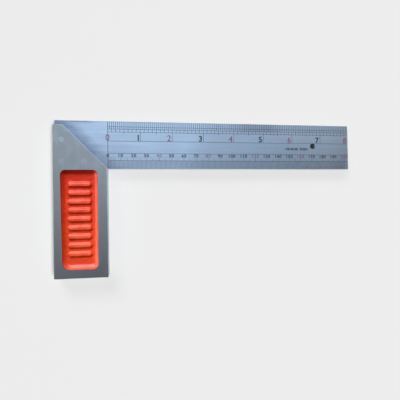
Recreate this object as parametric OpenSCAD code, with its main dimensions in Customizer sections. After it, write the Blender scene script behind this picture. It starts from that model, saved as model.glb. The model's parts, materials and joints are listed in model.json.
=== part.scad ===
// Fixed try-and-mitre square: a thin graduated steel blade held in the slot of a thick cast stock.
// The drawing starts at the inner corner, where the stock's inner face meets the blade's lower edge:
// +X runs along the blade, +Y up the stock, and Z = 0 is the middle of the blade's thickness.
// seated() then lays the square on its back face, with the origin under the middle of its box.

/* [Blade] */
// Length from the stock's inner face to the tip, a hair past the 8 in mark
blade_reach = 203.4; // [150:0.2:305]
// Width across the blade
blade_w = 37.3; // [34:0.1:45]
// Thickness of the blade
blade_t = 1.0; // [0.8:0.1:2]
// Distance from the stock's inner face to the centre of the hanging hole
hang_x = 170.9; // [120:0.1:190]
// Height of the hanging hole above the blade's lower edge
hang_y = 19.5; // [8:0.1:26]
// Diameter of the hanging hole
hang_d = 4.5; // [3:0.1:8]

/* [Stock] */
// Width of the stock, along the blade
stock_w = 39.6; // [38:0.1:48]
// Length of the stock from its foot to its flat top
stock_len = 116; // [110:0.5:160]
// Thickness of the stock
stock_t = 16; // [12:0.5:22]
// How far the blade's outer edge stands above the stock's flat top
blade_proud = 4.4; // [1:0.1:8]
// Height above the inner corner at which the 45 degree mitre leaves the inner face
mitre_start = 0.3; // [0:0.1:2]

/* [Rivets] */
// Diameter of each flush rivet
rivet_d = 4.0; // [3:0.1:5]
// Distance from the stock's inner face to the rivet nearest to it
rivet_inner_x = 17.3; // [15:0.1:18]
// Height of the lower rivets above the blade's lower edge
rivet_low_y = 5.1; // [4:0.1:8]
// Leg of the right-angled triangle that the rivets make
rivet_leg = 16.3; // [12:0.1:17]

/* [Recess] */
// Depth of the enamelled recess in each broad face
recess_depth = 3.0; // [1.5:0.1:4]
// Length of the recess
recess_len = 75.0; // [60:0.1:78]
// Width of the recess at its upper end
recess_w = 27.6; // [24:0.1:28]
// Gap between the inner corner's level and the recess
recess_top_gap = 1.4; // [1:0.1:4]
// Land between the stock's inner face and the recess
recess_land = 7.1; // [5:0.1:8]
// How much the recess's outer side leans in over its length
recess_lean_out = 1.1; // [0:0.1:2]
// How much the recess's inner side leans in over its length
recess_lean_in = 0.2; // [0:0.1:2]
// Width that the sloping wall takes, from the rim to the floor
recess_wall = 1.5; // [1:0.1:4]

/* [Grip ribs] */
// Number of cross ribs on the floor of each recess
rib_count = 9; // [3:1:10]
// Distance from one rib to the next
rib_pitch = 6.6; // [5:0.1:7]
// Width of a rib
rib_w = 2.4; // [2:0.1:4]
// Length of a rib
rib_len = 16; // [8:0.5:18]
// Height of a rib above the floor
rib_h = 1.1; // [0.5:0.1:1.8]
// Thickness of the enamel over the floor, walls and ribs
enamel_t = 0.3; // [0.2:0.05:0.5]

/* [Hidden] */
// Round parts that are true cylinders
$fn = 96;
// Circles at the corners of the recess, which come out as facets
corner_fn = 32;
// How far a cutter runs past the surface that it opens
over = 0.5;
// Radius of the recess's corners on its floor
floor_r = 2.4;
// How much larger that radius is at the outer corner by the foot
foot_extra_r = 2.2;

stock_top = blade_w - blade_proud;
stock_foot = stock_top - stock_len;
half_t = stock_t / 2;
blade_len = stock_w + blade_reach;

// Middle of the whole square's box, which sits over the origin
centre_x = (blade_reach - stock_w) / 2;
centre_y = (blade_w + stock_foot) / 2;

rivet_outer_x = rivet_inner_x + rivet_leg;
rivet_high_y = rivet_low_y + rivet_leg;
upper_rivet = [-rivet_outer_x, rivet_high_y];
lower_rivet = [-rivet_outer_x, rivet_low_y];
inner_rivet = [-rivet_inner_x, rivet_low_y];
rivet_places = [upper_rivet, lower_rivet, inner_rivet];

floor_z = half_t - recess_depth;
draft = recess_wall / recess_depth;
rim_r = floor_r + recess_wall;

// Centre and floor radius of each of the recess's corners: it narrows a little towards the foot
recess_top = -recess_top_gap - rim_r;
recess_foot = -recess_top_gap - recess_len + rim_r;
recess_in = -recess_land - rim_r;
recess_out = -recess_land - recess_w + rim_r;
recess_corners = [
    [recess_out, recess_top, floor_r],
    [recess_in, recess_top, floor_r],
    [recess_in - recess_lean_in, recess_foot, floor_r],
    [recess_out + recess_lean_out + foot_extra_r, recess_foot + foot_extra_r, floor_r + foot_extra_r]
];
ribs_x = (recess_in + recess_out) / 2 + (recess_lean_out - recess_lean_in) / 4;
ribs_y = (recess_top + recess_foot) / 2;

// Moves the drawing from the inner corner to its place on the ground
module seated() {
    translate([-centre_x, -centre_y, half_t]) children();
}

// The stock seen from its broad face: a bar whose upper inner corner is cut at 45 degrees
module stock_outline() {
    polygon([
        [0, stock_foot],
        [0, mitre_start],
        [mitre_start - stock_top, stock_top],
        [-stock_w, stock_top],
        [-stock_w, stock_foot]
    ]);
}

// The open space of the front recess, with its walls and floor brought in by a coat of some thickness
module recess_space(coat = 0) {
    rise = recess_depth + over - coat;
    hull()
        for (corner = recess_corners)
            translate([corner.x, corner.y, floor_z + coat])
                cylinder(
                    h = rise,
                    r1 = corner.z - coat / 2,
                    r2 = corner.z - coat / 2 + rise * draft,
                    $fn = corner_fn
                );
}

// One cross rib with round ends, lying along X, from below the floor to its top
module rib(coat = 0) {
    end_r = rib_w / 2 + coat;
    straight = rib_len - rib_w;
    translate([0, 0, floor_z - over])
        linear_extrude(rib_h + over + coat) {
            square([straight, 2 * end_r], center = true);
            for (side = [-1, 1])
                translate([side * straight / 2, 0])
                    circle(end_r);
        }
}

module rib_row(coat = 0) {
    first = ribs_y - rib_pitch * (rib_count - 1) / 2;
    for (i = [0 : rib_count - 1])
        translate([ribs_x, first + i * rib_pitch, 0])
            rib(coat);
}

// What is cut out of the stock's front face: the recess with its ribs left standing
module front_recess() {
    difference() {
        recess_space();
        rib_row();
    }
}

// The coat in the front recess: everything between the casting and the coat's own surface
module front_enamel() {
    difference() {
        intersection() {
            recess_space();
            translate([-stock_w, stock_foot, 0])
                cube([stock_w, stock_len, half_t]);
        }
        rib_row();
        difference() {
            recess_space(enamel_t);
            rib_row(enamel_t);
        }
    }
}

module rivet_holes(height) {
    for (place = rivet_places)
        translate([place.x, place.y, 0])
            cylinder(h = height, d = rivet_d, center = true);
}

module rivet_at(place) {
    color("#9eabb6")
        seated()
            translate([place.x, place.y, 0])
                cylinder(h = stock_t, d = rivet_d, center = true);
}

// Cast stock: slotted from the top for the blade, recessed on both faces, drilled for the rivets
module stock() {
    color("#7f8b95")
        seated()
            difference() {
                linear_extrude(stock_t, center = true)
                    stock_outline();
                translate([-stock_w - over, 0, -blade_t / 2])
                    cube([stock_w + 2 * over, stock_top + over, blade_t]);
                front_recess();
                mirror([0, 0, 1])
                    front_recess();
                rivet_holes(stock_t + 2 * over);
            }
}

// Steel blade: its inner end fills the slot and finishes flush with the stock's outer edge
module blade() {
    color("#a9bdd0")
        seated()
            difference() {
                translate([-stock_w, 0, -blade_t / 2])
                    cube([blade_len, blade_w, blade_t]);
                translate([hang_x, hang_y, 0])
                    cylinder(h = blade_t + 2 * over, d = hang_d, center = true);
                rivet_holes(blade_t + 2 * over);
            }
}

module rivet_upper() {
    rivet_at(upper_rivet);
}

module rivet_lower() {
    rivet_at(lower_rivet);
}

module rivet_inner() {
    rivet_at(inner_rivet);
}

module enamel_front() {
    color("#e2452b")
        seated()
            front_enamel();
}

module enamel_back() {
    color("#e2452b")
        seated()
            mirror([0, 0, 1])
                front_enamel();
}

stock();
blade();
rivet_upper();
rivet_lower();
rivet_inner();
enamel_front();
enamel_back();
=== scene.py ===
"""Looks of a fixed try-and-mitre square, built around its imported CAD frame.

The square lies on its back face: +X runs along the blade, +Y up the stock, +Z out of the front face.
Everything is in metres. The inner corner, where the stock's inner face meets the blade's lower edge,
is the zero of both scales, and most pieces are placed from it.
"""
import json
import math

import bmesh
import bpy
from mathutils import Matrix, Vector, geometry, noise


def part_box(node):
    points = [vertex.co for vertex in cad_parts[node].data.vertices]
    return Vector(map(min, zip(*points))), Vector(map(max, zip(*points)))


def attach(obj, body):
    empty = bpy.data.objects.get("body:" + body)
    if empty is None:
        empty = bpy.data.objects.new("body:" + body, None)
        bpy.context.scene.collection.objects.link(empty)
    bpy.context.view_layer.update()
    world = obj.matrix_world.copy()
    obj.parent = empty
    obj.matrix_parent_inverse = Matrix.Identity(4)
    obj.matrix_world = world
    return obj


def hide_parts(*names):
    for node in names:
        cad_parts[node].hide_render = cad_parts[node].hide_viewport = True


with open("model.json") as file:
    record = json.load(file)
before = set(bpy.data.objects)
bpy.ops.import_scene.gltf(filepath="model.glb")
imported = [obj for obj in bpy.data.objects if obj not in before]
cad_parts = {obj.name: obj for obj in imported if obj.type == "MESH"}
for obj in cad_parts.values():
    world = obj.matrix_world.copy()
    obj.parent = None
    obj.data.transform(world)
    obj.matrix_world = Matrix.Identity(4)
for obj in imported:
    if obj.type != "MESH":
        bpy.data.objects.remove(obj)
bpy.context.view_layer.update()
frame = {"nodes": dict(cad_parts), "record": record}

MM = 0.001
INCH = 25.4 * MM

# ------------------------------------------------------------------ measures taken from the frame
MOUNTS = {mount["name"]: mount for mount in frame["record"]["mounts"]}
STOCK_LO, STOCK_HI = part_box("stock")
BLADE_LO, BLADE_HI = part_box("blade")
MID_Z = (BLADE_LO.z + BLADE_HI.z) / 2
CORNER = Vector((MOUNTS["stock_inner_face"]["pos_m"][0], BLADE_LO.y, MID_Z))
BLADE_WIDTH = BLADE_HI.y - BLADE_LO.y
HANG_HOLE = Vector(MOUNTS["hang_hole"]["pos_m"])
MITRE_POINT = Vector(MOUNTS["mitre_front"]["pos_m"])
MITRE_NORMAL = Vector(MOUNTS["mitre_front"]["axis"])

# ------------------------------------------------------------------ sizes that shapes and materials share
ENAMEL_LO, ENAMEL_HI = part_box("enamel_front")
# Thickness of the enamel, how deep its floor lies below the broad face, and how high its ribs stand
COAT = 0.3 * MM
RECESS_DEPTH = ENAMEL_HI.z - ENAMEL_LO.z - COAT
RIB_HEIGHT = 1.2 * MM

# ------------------------------------------------------------------ camera, light and floor
LENS = 36.0
SENSOR = 36.0
CLIP_NEAR, CLIP_FAR = 0.01, 20
CAMERA_FROM_CORNER = Vector((17.2, -30.0, 319.9)) * MM
CAMERA_LOOKS = Vector((0.17096, 0.01499, -0.98516))
CAMERA_UP = Vector((0.01196, 0.99978, 0.01729))

# Each soft box: where it stands, its width and height in metres, its brightness and its colour.
# The key shapes the enamel and the figures. Two boxes light the floor alone: a small one beside the key,
# for a faint shadow, and one nearly overhead, whose shadow the square itself hides.
KEY_PLACE = Vector((-0.34, 0.68, 0.62)) * 9.0
KEY = (KEY_PLACE, (9.0, 7.0), 8.6, (0.90, 0.95, 1.0))
KEY_ON_FLOOR = (KEY_PLACE, (5.0, 3.5), 2.8, (0.99, 0.99, 1.0))
OVER_FLOOR = (Vector((0.20, -0.12, 1.0)) * 9.0, (2.3, 2.3), 47.2, (1.0, 1.0, 1.0))
# Strips that put light on the enamel's steep walls
ENAMEL_BOXES = {
    "left_strip": (Vector((-0.98, 0.05, 0.15)) * 3.0, (3.0, 1.0), 5.3, (0.72, 0.95, 1.0)),
    "right_strip": (Vector((0.95, 0.0, 0.30)) * 3.0, (3.0, 1.2), 0.7, (1.0, 0.40, 0.25)),
    "top_strip": (Vector((0.0, 0.98, 0.15)) * 3.0, (3.0, 1.0), 0.2, (0.70, 0.85, 1.0)),
}
# What the stock, the blade and the rivets mirror
METAL_BOXES = {
    "overhead": (Vector((0.0, 0.50, 0.866)) * 3.0, (3.0, 3.0), 0.76, (0.54, 0.78, 1.0)),
    "overhead_left": (Vector((-0.30, 0.35, 0.89)) * 3.0, (4.0, 3.0), 0.38, (1.0, 0.85, 0.82)),
    "overhead_right": (Vector((0.25, 0.45, 0.86)) * 3.0, (5.0, 3.0), 0.06, (0.62, 0.97, 1.0)),
    "mitre_card": (Vector((0.56, 0.60, 0.57)) * 3.0, (3.0, 3.0), 1.35, (0.92, 0.96, 1.0)),
    "back_card": (Vector((0.0, -0.90, 0.35)) * 2.5, (3.0, 1.5), 0.5, (0.9, 0.95, 1.0)),
    "left_card": (Vector((-0.93, 0.0, 0.35)) * 2.5, (3.0, 1.5), 0.5, (0.9, 0.95, 1.0)),
    "right_card": (Vector((0.93, 0.0, 0.35)) * 2.5, (3.0, 1.5), 0.6, (0.9, 0.95, 1.0)),
}
# Each glow of the room: its middle, the cosines from it where the glow starts and is full, its colour
GLOWS = (
    (Vector((-0.9, 0.0, 0.4)), (0.50, 1.0), (0.06, 0.06, 0.06)),
    (Vector((0.6, 0.2, 0.77)), (0.70, 1.0), (0.10, 0.05, 0.04)),
    (Vector((0.0, 0.0, -1.0)), (-0.40, 0.0), (0.50, 0.50, 0.51)),
)
ROOM = (0.03, 0.03, 0.03)
FLOOR_COLOUR = (0.84, 0.84, 0.84)
FLOOR_HALF = 3.0

# Sockets of a Mix node that mixes colours
MIX_FACTOR, MIX_A, MIX_B = 0, 6, 7
MIX_RESULT = 2


def aim(looks, up):
    """The turn that points an object's -Z along looks, with its Y as near up as it goes."""
    back = -looks.normalized()
    right = up.cross(back).normalized()
    return Matrix((right, back.cross(right), back)).transposed().to_4x4()


def make_camera():
    data = bpy.data.cameras.new("camera")
    data.sensor_width = SENSOR
    data.lens = LENS
    data.clip_start = CLIP_NEAR
    data.clip_end = CLIP_FAR
    camera = bpy.data.objects.new("camera", data)
    bpy.context.scene.collection.objects.link(camera)
    place = Matrix.Translation(CORNER + CAMERA_FROM_CORNER)
    camera.matrix_world = place @ aim(CAMERA_LOOKS, CAMERA_UP)
    bpy.context.scene.camera = camera


def make_soft_box(name, place, size, brightness, colour, lit):
    """A rectangular light that faces the object and lights only some pieces."""
    data = bpy.data.lights.new(name, "AREA")
    data.shape = "RECTANGLE"
    data.size, data.size_y = size
    data.energy = brightness * math.pi * size[0] * size[1]
    data.color = colour
    light = bpy.data.objects.new(name, data)
    bpy.context.scene.collection.objects.link(light)
    light.matrix_world = Matrix.Translation(place) @ aim(-place, Vector((0, 0, 1)))
    light.visible_camera = False
    group = bpy.data.collections.new("lit_by_" + name)
    for piece_lit in lit:
        group.objects.link(piece_lit)
    light.light_linking.receiver_collection = group


def make_world():
    """A dim room that is pale near the horizon and glows faintly on the left and the right.

    It is seen and mirrored, but lights nothing.
    """
    world = bpy.data.worlds.new("studio")
    world.use_nodes = True
    tree = world.node_tree
    way = tree.nodes.new("ShaderNodeTexCoord").outputs["Generated"]
    total = None
    for towards, reach, colour in GLOWS:
        facing = tree.nodes.new("ShaderNodeVectorMath")
        facing.operation = "DOT_PRODUCT"
        facing.inputs[1].default_value = towards.normalized()
        tree.links.new(way, facing.inputs[0])
        fade = tree.nodes.new("ShaderNodeMapRange")
        fade.inputs["From Min"].default_value = reach[0]
        fade.inputs["From Max"].default_value = reach[1]
        tree.links.new(facing.outputs["Value"], fade.inputs["Value"])
        add = tree.nodes.new("ShaderNodeMix")
        add.data_type = "RGBA"
        add.blend_type = "ADD"
        add.inputs[MIX_A].default_value = (*ROOM, 1)
        add.inputs[MIX_B].default_value = (*colour, 1)
        tree.links.new(fade.outputs["Result"], add.inputs[MIX_FACTOR])
        if total is not None:
            tree.links.new(total, add.inputs[MIX_A])
        total = add.outputs[MIX_RESULT]
    tree.links.new(total, tree.nodes["Background"].inputs["Color"])
    world.cycles_visibility.diffuse = False
    bpy.context.scene.world = world
    bpy.context.scene.view_settings.view_transform = "Standard"


def make_floor():
    """A pale sheet of matt paper that the square lies on."""
    mesh = bpy.data.meshes.new("floor")
    signs = ((-1, -1), (1, -1), (1, 1), (-1, 1))
    corners = [(x * FLOOR_HALF, y * FLOOR_HALF, STOCK_LO.z) for x, y in signs]
    mesh.from_pydata(corners, [], [(0, 1, 2, 3)])
    floor = bpy.data.objects.new("floor", mesh)
    bpy.context.scene.collection.objects.link(floor)
    paper = bpy.data.materials.new("paper")
    paper.use_nodes = True
    shader = paper.node_tree.nodes["Principled BSDF"]
    shader.inputs["Base Color"].default_value = (*FLOOR_COLOUR, 1)
    shader.inputs["Roughness"].default_value = 1.0
    shader.inputs["Specular IOR Level"].default_value = 0.0
    mesh.materials.append(paper)
    return floor


# ------------------------------------------------------------------ material nodes
UP = Vector((0, 0, 1))


class Shader:
    """A material and short ways to add nodes to it. Positions are read in the row frame, in metres."""

    def __init__(self, name):
        self.material = bpy.data.materials.new(name)
        self.material.use_nodes = True
        self.tree = self.material.node_tree
        self.surface = self.tree.nodes["Principled BSDF"]
        self.place = self.add("ShaderNodeTexCoord").outputs["Object"]

    def add(self, kind, **settings):
        node = self.tree.nodes.new(kind)
        for name, value in settings.items():
            setattr(node, name, value)
        return node

    def put(self, socket, value):
        """Links a socket to another one, or sets its own value. A colour is given without alpha."""
        if isinstance(value, bpy.types.NodeSocket):
            self.tree.links.new(value, socket)
        elif socket.type == "RGBA":
            socket.default_value = (*value, 1)
        else:
            socket.default_value = value

    def feed(self, node, **inputs):
        """Sets a node's inputs by their names."""
        for name, value in inputs.items():
            self.put(node.inputs[name.replace("_", " ")], value)
        return node

    def stretched(self, x, y, z, turn=0.0):
        """Positions scaled to so many cycles per metre along each axis."""
        node = self.add("ShaderNodeMapping")
        self.feed(node, Vector=self.place, Scale=(x, y, z), Rotation=(0, 0, turn))
        return node.outputs["Vector"]

    def distance_from_plane(self, point, normal):
        """How far a place stands out of a plane, in metres."""
        node = self.add("ShaderNodeVectorMath", operation="DOT_PRODUCT")
        self.put(node.inputs[0], self.place)
        self.put(node.inputs[1], normal)
        return self.maths("SUBTRACT", node.outputs["Value"], point.dot(normal))

    def distance_from_point(self, point):
        """How far a place lies from a point, in metres."""
        node = self.add("ShaderNodeVectorMath", operation="DISTANCE")
        self.put(node.inputs[0], self.place)
        self.put(node.inputs[1], point)
        return node.outputs["Value"]

    def levelness(self):
        """1 where the surface lies level and 0 where it stands upright."""
        normal = self.add("ShaderNodeTexCoord").outputs["Normal"]
        node = self.add("ShaderNodeVectorMath", operation="DOT_PRODUCT")
        self.put(node.inputs[0], normal)
        self.put(node.inputs[1], UP)
        return self.maths("ABSOLUTE", node.outputs["Value"], 0.0)

    def noise(self, where, detail=3.0, roughness=0.5, distortion=0.0):
        """Smooth noise from 0 to 1, mostly near the middle."""
        node = self.add("ShaderNodeTexNoise")
        self.feed(node, Vector=where, Scale=1.0, Detail=detail, Roughness=roughness, Distortion=distortion)
        return node.outputs["Fac"]

    def ramp(self, value, low, high, to_low=0.0, to_high=1.0):
        """Maps low..high to to_low..to_high, clamped."""
        node = self.add("ShaderNodeMapRange")
        self.feed(node, Value=value, From_Min=low, From_Max=high, To_Min=to_low, To_Max=to_high)
        return node.outputs["Result"]

    def maths(self, operation, a, b):
        """Works out one operation on two values, each of them a socket or a number."""
        node = self.add("ShaderNodeMath", operation=operation)
        self.put(node.inputs[0], a)
        self.put(node.inputs[1], b)
        return node.outputs[0]

    def plus(self, a, b):
        return self.maths("ADD", a, b)

    def times(self, a, b):
        return self.maths("MULTIPLY", a, b)

    def blend(self, factor, a, b):
        """Mixes two colours, each of them a socket or a colour."""
        node = self.add("ShaderNodeMix", data_type="RGBA", blend_type="MIX")
        self.put(node.inputs[MIX_FACTOR], factor)
        self.put(node.inputs[MIX_A], a)
        self.put(node.inputs[MIX_B], b)
        return node.outputs[MIX_RESULT]

    def bump(self, height, distance, strength=1.0, over=None):
        """Fine relief, laid over another relief if one is given."""
        node = self.add("ShaderNodeBump")
        self.feed(node, Height=height, Distance=distance, Strength=strength)
        if over is not None:
            self.put(node.inputs["Normal"], over)
        return node.outputs["Normal"]

    def finish(self, **inputs):
        """Sets the surface's own inputs and returns the material."""
        self.feed(self.surface, **inputs)
        return self.material


def blade_steel():
    """Satin strip steel: fine grain along X in several widths, painted shade towards the tip, and old dirt
    with painted shade where the stock grips it.
    """
    s = Shader("blade_steel")
    wide = s.noise(s.stretched(9, 420, 420), detail=4, roughness=0.6)
    fine = s.noise(s.stretched(40, 5200, 5200), detail=3, roughness=0.6)
    smear = s.noise(s.stretched(22, 30, 30), detail=3, roughness=0.55, distortion=0.4)
    # The blue cast of these tones is a painted reflection of a bluish sky
    tone = s.blend(s.ramp(wide, 0.35, 0.65), (0.45, 0.56, 0.70), (0.55, 0.665, 0.815))
    tone = s.blend(s.ramp(fine, 0.3, 0.7, 0.0, 0.5), tone, (0.49, 0.605, 0.745))
    tone = s.blend(s.ramp(smear, 0.4, 0.75, 0.0, 0.2), tone, (0.40, 0.50, 0.60))
    # Painted shade towards the tip, where less light is mirrored, with a few darker patches
    tone = s.blend(dullness_towards_the_tip(s), tone, (0.27, 0.325, 0.39))
    # Dirt and painted shade beside the stock, with a painted shadow in the inner corner
    dirt_shade_mask = grime_by_the_stock(s)
    tone = s.blend(dirt_shade_mask, tone, grime_colour(s))
    rough = s.plus(s.ramp(fine, 0.25, 0.75, 0.24, 0.36), s.ramp(smear, 0.35, 0.7, -0.02, 0.06))
    rough = s.plus(rough, s.times(dirt_shade_mask, 0.15))
    grain = s.bump(fine, 0.004 * MM, 0.5)
    grain = s.bump(wide, 0.02 * MM, 0.4, over=grain)
    tangent = s.add("ShaderNodeTangent", direction_type="UV_MAP", uv_map="grain").outputs["Tangent"]
    return s.finish(
        Base_Color=tone, Metallic=1.0, Roughness=rough, Anisotropic=0.55, Tangent=tangent, Normal=grain
    )


def dullness_towards_the_tip(s):
    """How much darker the blade is painted. Past a slanting line, where a mirrored soft box ends, and along
    its length it is painted shade, where less light is mirrored; it is also darker at its two outer corners.

    The upper edge also has one darker patch, between its fourth and sixth inch.
    """
    along = s.distance_from_plane(CORNER, Vector((1, 0, 0)))
    across = s.distance_from_plane(CORNER, Vector((0.9, -0.4, 0)))
    below_edge = s.distance_from_plane(BLADE_HI, Vector((0, -1, 0)))
    tip_corner = s.distance_from_point(Vector((BLADE_HI.x, BLADE_LO.y, BLADE_HI.z)))
    # Painted shade past a slanting line and along the blade's length
    past_line = s.ramp(across, 48 * MM, 66 * MM, 0.0, 0.32)
    darkening = s.plus(past_line, s.ramp(along, 80 * MM, 200 * MM, 0.0, 0.52))
    darkening = s.plus(darkening, s.ramp(tip_corner, 0.0, 14 * MM, 0.35, 0.0))
    darkening = s.plus(darkening, s.ramp(along, 184 * MM, 203 * MM, 0.0, 0.16))
    patch = s.ramp(along, 96 * MM, 112 * MM)
    patch = s.times(patch, s.ramp(along, 132 * MM, 146 * MM, 1.0, 0.0))
    patch = s.times(patch, s.ramp(below_edge, 5 * MM, 9 * MM, 0.34, 0.0))
    return s.plus(darkening, patch)


def grime_colour(s):
    """Colour of the dirt and painted shade beside the stock: steel blue, turning lilac in blotches towards
    the inner corner.
    """
    blotch = s.ramp(s.noise(s.stretched(150, 260, 260), detail=2), 0.4, 0.6, 0.25, 1.0)
    near_corner = s.ramp(s.distance_from_point(CORNER), 10 * MM, 26 * MM, 0.9, 0.1)
    return s.blend(s.times(blotch, near_corner), (0.115, 0.17, 0.275), (0.20, 0.205, 0.35))


def grime_by_the_stock(s):
    """How dark the blade is beside the stock: streaks of dirt and painted shade that start at the stock, a
    darker upper edge and a painted shadow in the inner corner.
    """
    streak = s.noise(s.stretched(90, 330, 330), detail=3, roughness=0.55)
    blotch = s.noise(s.stretched(150, 210, 210), detail=3, roughness=0.6)
    uneven = 2.6 * MM
    reach = s.plus(s.ramp(streak, 0.3, 0.7, 0.0, uneven), s.ramp(blotch, 0.3, 0.7, 0.0, uneven))
    out = s.distance_from_plane(MITRE_POINT, MITRE_NORMAL)
    # Streaks of dirt and painted shade, reaching out from the mitre
    near = s.ramp(s.plus(out, reach), 4.5 * MM, 12.0 * MM, 0.64, 0.0)
    near = s.times(near, s.ramp(s.distance_from_point(CORNER), 4 * MM, 20 * MM, 0.72, 1.0))
    below_edge = s.distance_from_plane(BLADE_HI, Vector((0, -1, 0)))
    left_of_zero = s.distance_from_plane(CORNER, Vector((-1, 0, 0)))
    # Darker along the upper edge, over the stock
    dark_upper_edge = s.ramp(below_edge, 0.5 * MM, 2.2 * MM, 0.6, 0.0)
    dark_upper_edge = s.times(dark_upper_edge, s.ramp(left_of_zero, 6.0 * MM, 18.0 * MM))
    # Painted shadow in the inner corner, between the blade and the stock
    corner = s.ramp(s.distance_from_point(CORNER), 1.0 * MM, 7.0 * MM, 0.28, 0.0)
    worst = s.maths("MAXIMUM", s.maths("MAXIMUM", near, corner), dark_upper_edge)
    return s.times(worst, s.ramp(blotch, 0.3, 0.65, 0.55, 1.0))


def stock_metal():
    """Ground casting: grain along Y, cloudy where the grinding bit less, with a few dark pores and painted
    shade towards the foot.
    """
    s = Shader("stock_casting")
    grain = s.noise(s.stretched(3000, 55, 3000), detail=4, roughness=0.65)
    wide = s.noise(s.stretched(420, 20, 420), detail=4, roughness=0.6)
    cloud = s.noise(s.stretched(170, 120, 170), detail=4, roughness=0.6, distortion=0.6)
    pores = s.noise(s.stretched(2600, 2200, 2600), detail=1)
    tone = s.blend(s.ramp(wide, 0.3, 0.7), (0.405, 0.44, 0.475), (0.455, 0.50, 0.535))
    tone = s.blend(s.ramp(cloud, 0.35, 0.65, 0.0, 0.75), tone, (0.385, 0.44, 0.425))
    tone = s.blend(s.ramp(grain, 0.3, 0.7, 0.0, 0.35), tone, (0.50, 0.555, 0.61))
    # Painted shade: the face darkens towards the foot, where less light is mirrored
    above_foot = s.distance_from_plane(STOCK_LO, Vector((0, 1, 0)))
    tone = s.blend(s.ramp(above_foot, 5 * MM, 75 * MM, 0.55, 0.0), tone, (0.30, 0.325, 0.35))
    tone = s.blend(s.ramp(pores, 0.72, 0.76, 0.0, 0.55), tone, (0.12, 0.14, 0.16))
    rough = s.plus(s.ramp(grain, 0.25, 0.75, 0.34, 0.46), s.ramp(cloud, 0.3, 0.7, -0.04, 0.08))
    relief = s.bump(grain, 0.01 * MM, 0.6)
    relief = s.bump(cloud, 0.03 * MM, 0.5, over=relief)
    return s.finish(Base_Color=tone, Metallic=1.0, Roughness=rough, Normal=relief)


def edge_metal(name, tone_low, tone_high):
    """Worn edge of a metal piece: brighter and smoother than the face beside it, with small nicks. The
    brightness is partly a painted highlight.
    """
    s = Shader(name)
    nick = s.noise(s.stretched(900, 900, 900), detail=3, roughness=0.7)
    tone = s.blend(s.ramp(nick, 0.35, 0.65), tone_low, tone_high)
    rough = s.ramp(nick, 0.3, 0.7, 0.38, 0.5)
    return s.finish(Base_Color=tone, Metallic=1.0, Roughness=rough, Normal=s.bump(nick, 0.03 * MM, 0.6))


def rivet_steel():
    """Rivet end ground off with the stock: the same grain, but a paler metal, palest on the upper rivet."""
    s = Shader("rivet_steel")
    grain = s.noise(s.stretched(2600, 90, 2600), detail=4, roughness=0.65)
    spot = s.noise(s.stretched(500, 420, 500), detail=3)
    tone = s.blend(s.ramp(grain, 0.3, 0.7), (0.44, 0.49, 0.54), (0.515, 0.57, 0.625))
    height = s.distance_from_plane(CORNER, Vector((0, 1, 0)))
    upper = s.times(s.ramp(height, 12 * MM, 18 * MM), s.ramp(spot, 0.35, 0.65, 0.85, 0.3))
    tone = s.blend(upper, tone, (0.56, 0.64, 0.73))
    tone = s.blend(s.ramp(spot, 0.4, 0.7, 0.0, 0.6), tone, (0.41, 0.455, 0.475))
    rough = s.ramp(grain, 0.3, 0.7, 0.32, 0.44)
    return s.finish(Base_Color=tone, Metallic=1.0, Roughness=rough, Normal=s.bump(grain, 0.01 * MM, 0.5))


def enamel_paint():
    """Thick brushed enamel: an orange peel over pebbly casting, with painted shade at the recess's two ends
    and painted light towards its foot.

    It is paler on the level tops of the ribs, and a few dark specks sit in it.
    """
    s = Shader("enamel")
    flow = s.noise(s.stretched(120, 95, 120), detail=3, roughness=0.5, distortion=0.5)
    peel = s.noise(s.stretched(1100, 1000, 1100), detail=2, roughness=0.5)
    pebble = s.noise(s.stretched(760, 700, 760), detail=3, roughness=0.6)
    speck = s.noise(s.stretched(1700, 1700, 1700), detail=1)
    tone = s.blend(s.ramp(flow, 0.3, 0.7), (0.66, 0.032, 0.006), (0.78, 0.062, 0.014))
    tone = s.blend(s.ramp(pebble, 0.35, 0.6, 0.7, 0.0), tone, (0.48, 0.014, 0.004))
    # Painted shadow of the rim near the head of the recess, painted light growing towards the foot, and
    # painted shade on the wall at the foot
    from_head = s.distance_from_plane(CORNER, Vector((0, -1, 0)))
    tone = s.blend(s.ramp(from_head, 3 * MM, 28 * MM, 0.75, 0.0), tone, (0.54, 0.014, 0.003))
    tone = s.blend(s.ramp(from_head, 30 * MM, 76 * MM, 0.0, 0.5), tone, (0.84, 0.085, 0.022))
    tone = s.blend(s.ramp(from_head, 70 * MM, 76 * MM, 0.0, 0.6), tone, (0.60, 0.05, 0.022))
    floor_out = (STOCK_HI.z - STOCK_LO.z) / 2 - RECESS_DEPTH
    out = s.maths("ABSOLUTE", s.distance_from_plane(CORNER, UP), 0.0)
    standing = s.ramp(out, floor_out + 0.4 * RIB_HEIGHT, floor_out + RIB_HEIGHT)
    level = s.ramp(s.levelness(), 0.66, 0.98, 0.12, 1.0)
    # Paler on the level tops of the ribs
    paler_tops = s.times(s.times(standing, level), s.ramp(flow, 0.35, 0.62, 0.35, 0.9))
    tone = s.blend(paler_tops, tone, (0.86, 0.115, 0.044))
    tone = s.blend(s.ramp(speck, 0.66, 0.72, 0.0, 0.55), tone, (0.30, 0.015, 0.008))
    rough = s.ramp(peel, 0.3, 0.7, 0.26, 0.40)
    relief = s.bump(peel, 0.05 * MM, 0.7)
    relief = s.bump(pebble, 0.16 * MM, 0.8, over=relief)
    relief = s.bump(flow, 0.12 * MM, 0.6, over=relief)
    return s.finish(
        Base_Color=tone,
        Roughness=rough,
        Normal=relief,
        Specular_IOR_Level=0.30,
        Coat_Weight=0.26,
        Coat_Roughness=0.26,
    )


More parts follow.
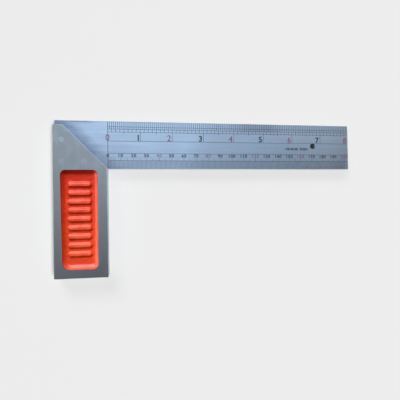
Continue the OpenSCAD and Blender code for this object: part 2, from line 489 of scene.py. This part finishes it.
def ink(name, tone_low, tone_high):
    """Filling of an etched mark: matt, and worn thin here and there."""
    s = Shader(name)
    wear = s.noise(s.stretched(900, 900, 900), detail=3, roughness=0.6)
    tone = s.blend(s.ramp(wear, 0.35, 0.7), tone_low, tone_high)
    rough = s.ramp(wear, 0.3, 0.7, 0.5, 0.75)
    return s.finish(Base_Color=tone, Roughness=rough, Normal=s.bump(wear, 0.01 * MM, 0.5))


# ------------------------------------------------------------------ mesh helpers
SHARP = math.radians(28)
# Cosine above which two directions count as the same
SAME_WAY = 0.9995
ON_PLANE = 0.01 * MM
WELD = 0.0005 * MM
FLAT_ANGLE = math.radians(0.5)
# Cosine above which a face looks mostly one way
MOSTLY = 0.7


def piece(name, mesh, materials, flats=()):
    """Makes a finished piece from a mesh. Faces that look along one of the flats stay dead flat."""
    for material in materials:
        mesh.materials.append(material)
    mesh.shade_smooth()
    mesh.set_sharp_from_angle(angle=SHARP)
    for polygon in mesh.polygons:
        if any(polygon.normal.dot(way) > SAME_WAY for way in flats):
            polygon.use_smooth = False
    made = bpy.data.objects.new(name, mesh)
    bpy.context.scene.collection.objects.link(made)
    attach(made, "root")
    return made


def welded_copy(node):
    """A CAD node's mesh as one closed bmesh, with each flat face whole again."""
    bm = bmesh.new()
    bm.from_mesh(frame["nodes"][node].data)
    bmesh.ops.remove_doubles(bm, verts=bm.verts, dist=WELD)
    bmesh.ops.dissolve_limit(bm, angle_limit=FLAT_ANGLE, verts=bm.verts, edges=bm.edges)
    bm.normal_update()
    return bm


def is_corner(edge):
    """Whether two faces meet in an edge at a clear angle."""
    return len(edge.link_faces) == 2 and edge.calc_face_angle(0) >= SHARP


def on_plane(face, point, normal):
    """Whether a face lies on a plane and looks the same way."""
    off = (face.calc_center_median() - point).dot(normal)
    return face.normal.dot(normal) > SAME_WAY and abs(off) < ON_PLANE


def bevelled(bm, name, weigh, width, steps):
    """Rounds the edges that weigh() gives a weight, and gives the rounds the second material."""
    layer = bm.edges.layers.float.new("bevel_weight_edge")
    for edge in bm.edges:
        edge[layer] = weigh(edge)
    mesh = bpy.data.meshes.new(name)
    bm.to_mesh(mesh)
    bm.free()
    holder = bpy.data.objects.new(name + "_holder", mesh)
    bpy.context.scene.collection.objects.link(holder)
    rounder = holder.modifiers.new("round", "BEVEL")
    rounder.limit_method = "WEIGHT"
    rounder.width = width
    rounder.segments = steps
    rounder.material = 1
    rounder.use_clamp_overlap = False
    graph = bpy.context.evaluated_depsgraph_get()
    done = bpy.data.meshes.new_from_object(holder.evaluated_get(graph))
    done.name = name
    bpy.data.objects.remove(holder)
    bpy.data.meshes.remove(mesh)
    done.materials.clear()
    return done


def add_grain_map(mesh):
    """A flat UV map whose U runs along X, or along Y on the two ends, for the grain's direction."""
    layer = mesh.uv_layers.new(name="grain")
    for polygon in mesh.polygons:
        on_end = abs(polygon.normal.x) > MOSTLY
        for index in polygon.loop_indices:
            place = mesh.vertices[mesh.loops[index].vertex_index].co
            layer.data[index].uv = (place.y, place.z) if on_end else (place.x, place.y + place.z)


# ------------------------------------------------------------------ blade and stock
BLADE_ROUND = 0.12 * MM
BLADE_ROUND_STEPS = 2
# The stock is rounded most along the mitre, less along its other edges, least at the mitre's two ends
STOCK_ROUND = 1.15 * MM
STOCK_ROUND_STEPS = 3
FACE_ROUND_SHARE = 0.4
POINT_ROUND_SHARE = 0.1


def outer_planes():
    """Point and outward normal of each outer plane of the stock."""
    along = [(STOCK_HI, Vector(axis)) for axis in ((1, 0, 0), (0, 1, 0), (0, 0, 1))]
    against = [(STOCK_LO, -axis) for _, axis in along]
    return along + against + [(MITRE_POINT, MITRE_NORMAL)]


def make_stock():
    """The stock with rounded outer edges, worn and with a painted highlight. Its slot, holes and recesses
    stay sharp.
    """
    bm = welded_copy("stock")
    planes = outer_planes()
    outer = {f for f in bm.faces if any(on_plane(f, p, n) for p, n in planes)}
    mitre = {f for f in outer if on_plane(f, MITRE_POINT, MITRE_NORMAL)}

    def weigh(edge):
        if not is_corner(edge) or not all(f in outer for f in edge.link_faces):
            return 0.0
        if not any(f in mitre for f in edge.link_faces):
            return FACE_ROUND_SHARE
        beside_broad_face = any(abs(f.normal.z) > SAME_WAY for f in edge.link_faces)
        return 1.0 if beside_broad_face else POINT_ROUND_SHARE

    mesh = bevelled(bm, "stock_casting", weigh, STOCK_ROUND, STOCK_ROUND_STEPS)
    # The edges are much paler than the face: worn metal with a painted highlight
    edge = edge_metal("stock_edge", (0.56, 0.68, 0.80), (0.74, 0.86, 0.98))
    made = piece("stock_casting", mesh, [stock_metal(), edge], [n for _, n in planes])
    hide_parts("stock")
    return made


def make_blade():
    """The blade with a slight round along the edges of both broad faces and around its holes."""
    bm = welded_copy("blade")
    faces = {f for f in bm.faces if abs(f.normal.z) > SAME_WAY}

    def weigh(edge):
        between = sum(f in faces for f in edge.link_faces) == 1
        return 1.0 if between and is_corner(edge) else 0.0

    mesh = bevelled(bm, "blade_steel", weigh, BLADE_ROUND, BLADE_ROUND_STEPS)
    add_grain_map(mesh)
    edge = edge_metal("blade_edge", (0.42, 0.50, 0.60), (0.54, 0.63, 0.73))
    flats = [Vector(way) for way in ((0, 0, 1), (0, 0, -1), (1, 0, 0), (0, 1, 0), (0, -1, 0))]
    made = piece("blade_steel", mesh, [blade_steel(), edge], flats)
    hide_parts("blade")
    return made


# ------------------------------------------------------------------ rivets
RIVET_SEGMENTS = 48
RIVET_CHAMFER = 0.05 * MM
RIVET_DISH = 0.015 * MM


def make_rivet(node, material):
    """A rivet with its two ends ground flush: a narrow chamfer and a very shallow dish."""
    lo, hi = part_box(node)
    centre = (lo + hi) / 2
    radius = (hi.x - lo.x) / 2
    rings = [
        (radius - RIVET_CHAMFER, hi.z),
        (radius, hi.z - RIVET_CHAMFER),
        (radius, lo.z + RIVET_CHAMFER),
        (radius - RIVET_CHAMFER, lo.z),
    ]
    bm = bmesh.new()
    turns = [math.tau * i / RIVET_SEGMENTS for i in range(RIVET_SEGMENTS)]
    loops = [
        [bm.verts.new((centre.x + r * math.cos(a), centre.y + r * math.sin(a), z)) for a in turns]
        for r, z in rings
    ]
    for upper, lower in zip(loops, loops[1:]):
        for i in range(RIVET_SEGMENTS):
            j = (i + 1) % RIVET_SEGMENTS
            bm.faces.new((upper[i], lower[i], lower[j], upper[j]))
    for loop, z in ((loops[0], hi.z - RIVET_DISH), (loops[-1], lo.z + RIVET_DISH)):
        middle = bm.verts.new((centre.x, centre.y, z))
        for i in range(RIVET_SEGMENTS):
            bm.faces.new((middle, loop[i], loop[(i + 1) % RIVET_SEGMENTS]))
    bmesh.ops.recalc_face_normals(bm, faces=bm.faces)
    mesh = bpy.data.meshes.new(node + "_steel")
    bm.to_mesh(mesh)
    bm.free()
    made = piece(node + "_steel", mesh, [material])
    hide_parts(node)
    return made


# ------------------------------------------------------------------ enamelled recesses
# How far in the steepest and the gentlest wall reach, and the inward normal of the gentlest
STEEP_WALL, GENTLE_WALL = 3.1 * MM, 4.6 * MM
GENTLE_TOWARDS = Vector((-1, 1)).normalized()
RIB_COUNT = 9
RIB_PITCH = 6.6 * MM
RIB_LENGTH = 17.8 * MM
RIB_WIDTH = 4.2 * MM
RIB_SLOPE = 1.5
RIB_ROUND = 0.8 * MM
# Size of the coat's faces, and how many closer rows lie in the zone beside each of its ends
CELL = 0.33 * MM
END_ZONE = 3 * MM
END_ROWS = 8
# Lumps of the casting: how many to the metre, and how high
LUMPS = ((140, 0.11 * MM), (420, 0.10 * MM), (900, 0.055 * MM))
LUMP_SEED = 3.7
# Lengths, in metres, that count as nothing
ON_RIM = 0.001 * MM
INSET = 1e-7
LEVEL = 1e-9


def smooth_min(a, b, width):
    """The smaller of two values, with a round of some width where they cross."""
    near = max(width - abs(a - b), 0.0) / width
    return min(a, b) - near * near * width / 4


def rim_outline():
    """The front recess's rim as a convex outline, read from the CAD coat."""
    face = STOCK_HI.z
    mesh = frame["nodes"]["enamel_front"].data
    points = [v.co.xy for v in mesh.vertices if face - v.co.z < ON_RIM]
    return [points[i] for i in geometry.convex_hull_2d(points)]


def walls_of(outline):
    """Each wall of the recess as a point on its rim, its inward normal and how far in it reaches.

    The paint has pooled against the right and lower walls, so those reach further.
    """
    centre = sum(outline, Vector((0, 0))) / len(outline)
    walls = []
    for a, b in zip(outline, outline[1:] + outline[:1]):
        along = b - a
        if along.length < ON_RIM:
            continue
        normal = Vector((along.y, -along.x)).normalized()
        if normal.dot(centre - a) < 0:
            normal.negate()
        gentle = (1 + normal.dot(GENTLE_TOWARDS)) / 2
        walls.append((a, normal, STEEP_WALL + (GENTLE_WALL - STEEP_WALL) * gentle))
    return walls


def wall_sink(place, walls):
    """How far a place inside the rim has sunk, as a share of the depth: each wall is a hollow curve."""
    share = min(normal.dot(place - point) / reach for point, normal, reach in walls)
    share = min(max(share, 0.0), 1.0)
    return share * (2 - share)


def chord(outline, y):
    """Where a line across the outline at a height y enters and leaves it."""
    crossings = []
    for a, b in zip(outline, outline[1:] + outline[:1]):
        if min(a.y, b.y) <= y <= max(a.y, b.y) and abs(a.y - b.y) > LEVEL:
            crossings.append(a.x + (b.x - a.x) * (y - a.y) / (b.y - a.y))
    return min(crossings), max(crossings)


def rib_rise(x, y, middle):
    """Height of the cross ribs above the recess's floor."""
    first = middle.y - RIB_PITCH * (RIB_COUNT - 1) / 2
    nearest = min(max(round((y - first) / RIB_PITCH), 0), RIB_COUNT - 1)
    half_line = (RIB_LENGTH - RIB_WIDTH) / 2
    dx = max(abs(x - middle.x) - half_line, 0.0)
    dy = y - (first + nearest * RIB_PITCH)
    within = RIB_WIDTH / 2 - math.hypot(dx, dy)
    slope = -smooth_min(-within * RIB_SLOPE, 0.0, RIB_ROUND)
    return smooth_min(slope, RIB_HEIGHT, RIB_ROUND)


def lumps(x, y, seed):
    """The casting's unevenness, which the enamel softens."""
    return sum(
        size * noise.noise(Vector((x * per_metre, y * per_metre, seed))) for per_metre, size in LUMPS
    )


def spaced_rows(low, high):
    """Heights from low to high, closer together near both ends, where the corners are round."""
    count = int((high - low) / CELL)
    even = [low + (high - low) * (i / count) for i in range(count + 1)]
    middle = [y for y in even if low + END_ZONE <= y <= high - END_ZONE]
    steps = [END_ZONE * (1 - math.cos(math.pi / 2 * k / END_ROWS)) for k in range(END_ROWS)]
    return [low + step for step in steps] + middle + [high - step for step in reversed(steps)]


def border(grid):
    """The outermost vertices of a grid, in order around it."""
    right = [row[-1] for row in grid[1:-1]]
    left = [row[0] for row in grid[-2:0:-1]]
    return grid[0] + right + grid[-1][::-1] + left


def close_sheet(bm, top, under):
    """Makes one closed skin of two grids of vertices, one above the other."""
    for j in range(len(top) - 1):
        for i in range(len(top[j]) - 1):
            bm.faces.new((top[j][i], top[j][i + 1], top[j + 1][i + 1], top[j + 1][i]))
            bm.faces.new((under[j][i], under[j + 1][i], under[j + 1][i + 1], under[j][i + 1]))
    rim_top = border(top)
    rim_under = border(under)
    for i in range(len(rim_top)):
        j = (i + 1) % len(rim_top)
        bm.faces.new((rim_top[i], rim_under[i], rim_under[j], rim_top[j]))
    bmesh.ops.recalc_face_normals(bm, faces=bm.faces)


def make_enamel(node, side, material):
    """The coat in one recess, as a sheet of even thickness. side is 1 on the front and -1 on the back."""
    lo, hi = ENAMEL_LO, ENAMEL_HI
    outline = rim_outline()
    walls = walls_of(outline)
    middle_y = (lo.y + hi.y) / 2
    middle = Vector((sum(chord(outline, middle_y)) / 2, middle_y))
    columns = int((hi.x - lo.x) / CELL)
    bm = bmesh.new()
    top, under = [], []
    for y in spaced_rows(lo.y, hi.y):
        left, right = chord(outline, min(max(y, lo.y + INSET), hi.y - INSET))
        top_row, under_row = [], []
        for i in range(columns + 1):
            x = left + (right - left) * i / columns
            sunk = wall_sink(Vector((x, y)), walls)
            rise = rib_rise(x, y, middle) + sunk * lumps(x, y, LUMP_SEED * side)
            height = min(hi.z - RECESS_DEPTH * sunk + rise * sunk, hi.z)
            top_row.append(bm.verts.new((x, y, MID_Z + side * (height - MID_Z))))
            under_row.append(bm.verts.new((x, y, MID_Z + side * (height - COAT - MID_Z))))
        top.append(top_row)
        under.append(under_row)
    close_sheet(bm, top, under)
    mesh = bpy.data.meshes.new(node + "_paint")
    bm.to_mesh(mesh)
    bm.free()
    made = piece(node + "_paint", mesh, [material])
    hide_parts(node)
    return made


# ------------------------------------------------------------------ graduations
BLACK, RED = 0, 1
LINE = 0.27 * MM
INCH_TICK = 0.30 * MM
MM_TICK = 0.19 * MM
ZERO_LINE = 0.36 * MM
# How far the ink stands above the face and reaches below it
INK_RISE = 0.02 * MM
INK_SINK = 0.03 * MM
# What is left bare between the marks and the blade's long edges, and its tip
EDGE_GAP = 0.05 * MM
TIP_GAP = 0.2 * MM
# Heights of the ladder's lines above the lower edge, as shares of the blade's width
INCH_FIRST, INCH_SECOND, INCH_THIRD, INCH_FOOT = 0.888, 0.838, 0.777, 0.585
METRIC_HEAD, METRIC_FOOT = 0.327, 0.174
HALF_INCH_OVERRUN = 1.2 * MM
FIVE_OVERRUN = 1.7 * MM
TEN_OVERRUN = 2.7 * MM
INCH_FIGURE = 4.9 * MM
METRIC_FIGURE = 2.65 * MM
FIGURE_GAP = 1.1 * MM
INCH_FIGURE_LIFT = 0.35 * MM
METRIC_FIGURE_LIFT = 0.1 * MM
FIGURE_WIDEN = 0.98
METRIC_WIDEN = 1.12
FIGURE_WEIGHT = {BLACK: 0.03, RED: 0.0}
FIGURE_SPACING = 1.1
FIGURE_CURVE_STEPS = 3
INCHES = 8
SIXTEENTHS = 16
MILLIMETRES = 200
RED_MILLIMETRES = 40
# The row of short bars beside the hanging hole: one is left out, and every third is narrow
BARS = 17
BAR_LEFT_OUT = 10
BAR_PITCH = 1.18 * MM
BAR_WIDE, BAR_NARROW = 0.78 * MM, 0.5 * MM
BAR_HEIGHT = 2.1 * MM
BARS_FOOT = 15.9 * MM
BARS_BEFORE_HOLE = 24.5 * MM
# Corners of each side of a box whose lower four corners are 0 to 3 and whose upper four are 4 to 7
BOX_SIDES = (
    (3, 2, 1, 0),
    (4, 5, 6, 7),
    (0, 1, 5, 4),
    (1, 2, 6, 5),
    (2, 3, 7, 6),
    (3, 0, 4, 7),
)


class FaceMarks:
    """Marks of one blade face, drawn as thin slabs in (along the blade, up the blade, out of the face)."""

    def __init__(self):
        self.meshes = {BLACK: bmesh.new(), RED: bmesh.new()}

    def bar(self, x0, y0, x1, y1, colour=BLACK):
        bm = self.meshes[colour]
        corners = [
            bm.verts.new((x, y, z))
            for z in (-INK_SINK, INK_RISE)
            for x, y in ((x0, y0), (x1, y0), (x1, y1), (x0, y1))
        ]
        for side in BOX_SIDES:
            bm.faces.new([corners[i] for i in side])

    def tick(self, x, y0, y1, colour=BLACK, width=LINE):
        self.bar(x - width / 2, y0, x + width / 2, y1, colour)

    def line(self, y, x0, x1):
        self.bar(x0, y - LINE / 2, x1, y + LINE / 2)

    def figure(self, text, x, y, height, widen, colour, anchor=0.0):
        """A numeral standing on y. anchor 0 centres it on x, and anchor 1 ends it there."""
        bm = self.meshes[colour]
        before = len(bm.verts)
        bm.from_mesh(figure_mesh(text, colour))
        bm.verts.ensure_lookup_table()
        made = bm.verts[before:]
        shift = anchor * max(v.co.x for v in made)
        for v in made:
            v.co = (x + (v.co.x - shift) * height * widen, y + v.co.y * height, v.co.z)


FIGURES = {}


def figure_mesh(text, colour):
    """A numeral 1 unit tall, centred on X and standing on Y = 0, as a thin slab."""
    if (text, colour) not in FIGURES:
        curve = bpy.data.curves.new("figure_" + text, "FONT")
        curve.body = text
        curve.align_x = "CENTER"
        curve.extrude = 1.0
        curve.offset = FIGURE_WEIGHT[colour]
        curve.space_character = FIGURE_SPACING
        curve.resolution_u = FIGURE_CURVE_STEPS
        holder = bpy.data.objects.new("figure_" + text, curve)
        bpy.context.scene.collection.objects.link(holder)
        graph = bpy.context.evaluated_depsgraph_get()
        mesh = bpy.data.meshes.new_from_object(holder.evaluated_get(graph))
        bpy.data.objects.remove(holder)
        bpy.data.curves.remove(curve)
        low = min(v.co.y for v in mesh.vertices)
        tall = max(v.co.y for v in mesh.vertices) - low
        middle = (min(v.co.x for v in mesh.vertices) + max(v.co.x for v in mesh.vertices)) / 2
        for v in mesh.vertices:
            level = INK_RISE if v.co.z > 0 else -INK_SINK
            v.co = ((v.co.x - middle) / tall, (v.co.y - low) / tall, level)
        FIGURES[text, colour] = mesh
    return FIGURES[text, colour]


def draw_inch_scale(marks):
    """Sixteenths along the upper edge, on a ladder of three lines, with figures on a fourth."""
    width = BLADE_WIDTH
    end = BLADE_HI.x - CORNER.x
    for share in (INCH_FIRST, INCH_SECOND, INCH_THIRD, INCH_FOOT):
        marks.line(share * width, 0, end - TIP_GAP)
    for i in range(1, INCHES * SIXTEENTHS):
        x = i * INCH / SIXTEENTHS
        if i % SIXTEENTHS == 0:
            foot = INCH_FOOT * width
        elif i % (SIXTEENTHS // 2) == 0:
            foot = INCH_THIRD * width - HALF_INCH_OVERRUN
        elif i % 2 == 0:
            foot = INCH_THIRD * width
        else:
            foot = INCH_SECOND * width
        if i % (2 * SIXTEENTHS) == 0:
            marks.tick(x, INCH_THIRD * width, width - EDGE_GAP, width=INCH_TICK)
            marks.tick(x, foot, INCH_THIRD * width, RED)
        else:
            marks.tick(x, foot, width - EDGE_GAP, width=INCH_TICK)
    foot = INCH_FOOT * width + INCH_FIGURE_LIFT
    marks.figure("0", 0, foot, INCH_FIGURE, FIGURE_WIDEN, RED)
    for i in range(1, INCHES + 1):
        colour = BLACK if i % 2 else RED
        marks.figure(str(i), i * INCH - FIGURE_GAP, foot, INCH_FIGURE, FIGURE_WIDEN, colour, anchor=1.0)


def draw_metric_scale(marks):
    """Millimetres along the lower edge, with figures every ten."""
    width = BLADE_WIDTH
    end = BLADE_HI.x - CORNER.x
    for share in (METRIC_HEAD, METRIC_FOOT):
        marks.line(share * width, 0, end - TIP_GAP)
    head = METRIC_FOOT * width
    for i in range(1, MILLIMETRES + 1):
        overrun = TEN_OVERRUN if i % 10 == 0 else FIVE_OVERRUN if i % 5 == 0 else 0
        if i % RED_MILLIMETRES == 0:
            marks.tick(i * MM, EDGE_GAP, head, width=MM_TICK)
            marks.tick(i * MM, head, head + overrun, RED)
        else:
            marks.tick(i * MM, EDGE_GAP, head + overrun, width=MM_TICK)
    foot = head + TEN_OVERRUN + METRIC_FIGURE_LIFT
    for i in range(0, MILLIMETRES + 1, 10):
        colour = RED if i > 0 and i % RED_MILLIMETRES == 0 else BLACK
        marks.figure(str(i), i * MM, foot, METRIC_FIGURE, METRIC_WIDEN, colour)


def draw_short_bars(marks):
    """A row of short etched bars beside the hanging hole, in place of any wording."""
    start = HANG_HOLE.x - CORNER.x - BARS_BEFORE_HOLE
    for i in range(BARS):
        if i == BAR_LEFT_OUT:
            continue
        x = start + i * BAR_PITCH
        marks.bar(x, BARS_FOOT, x + (BAR_WIDE if i % 3 else BAR_NARROW), BARS_FOOT + BAR_HEIGHT)


def make_marks(prefix, place, inks):
    """All marks of one face, as one black piece and one red piece. place takes them to the face."""
    marks = FaceMarks()
    marks.tick(ZERO_LINE / 2, EDGE_GAP, BLADE_WIDTH - EDGE_GAP, width=ZERO_LINE)
    draw_inch_scale(marks)
    draw_metric_scale(marks)
    draw_short_bars(marks)
    made = []
    for colour, word in ((BLACK, "black"), (RED, "red")):
        bm = marks.meshes[colour]
        bm.transform(place)
        name = prefix + "_" + word
        mesh = bpy.data.meshes.new(name)
        bm.to_mesh(mesh)
        bm.free()
        made.append(piece(name, mesh, [inks[colour]]))
    return made


def make_graduations():
    """The scales on both faces. The back one is the front one turned over about the blade's length."""
    inks = {
        BLACK: ink("graduation_black", (0.015, 0.022, 0.035), (0.045, 0.06, 0.085)),
        RED: ink("graduation_red", (0.15, 0.025, 0.075), (0.24, 0.055, 0.12)),
    }
    front = Matrix.Translation((CORNER.x, CORNER.y, BLADE_HI.z))
    turned = Matrix.Rotation(math.pi, 4, "X")
    back = Matrix.Translation((CORNER.x, BLADE_HI.y, BLADE_LO.z)) @ turned
    return make_marks("scale_front", front, inks) + make_marks("scale_back", back, inks)


# ------------------------------------------------------------------ the whole square
make_camera()
make_world()
rivet_material = rivet_steel()
metal = [make_stock(), make_blade()]
metal += [make_rivet(rivet, rivet_material) for rivet in ("rivet_upper", "rivet_lower", "rivet_inner")]
paint = enamel_paint()
coats = [make_enamel("enamel_front", 1, paint), make_enamel("enamel_back", -1, paint)]
scales = make_graduations()

floor = make_floor()
make_soft_box("key", *KEY, coats + scales)
make_soft_box("key_on_floor", *KEY_ON_FLOOR, [floor])
make_soft_box("over_floor", *OVER_FLOOR, [floor])
for box_name, box in ENAMEL_BOXES.items():
    make_soft_box(box_name, *box, coats)
for box_name, box in METAL_BOXES.items():
    make_soft_box(box_name, *box, metal)
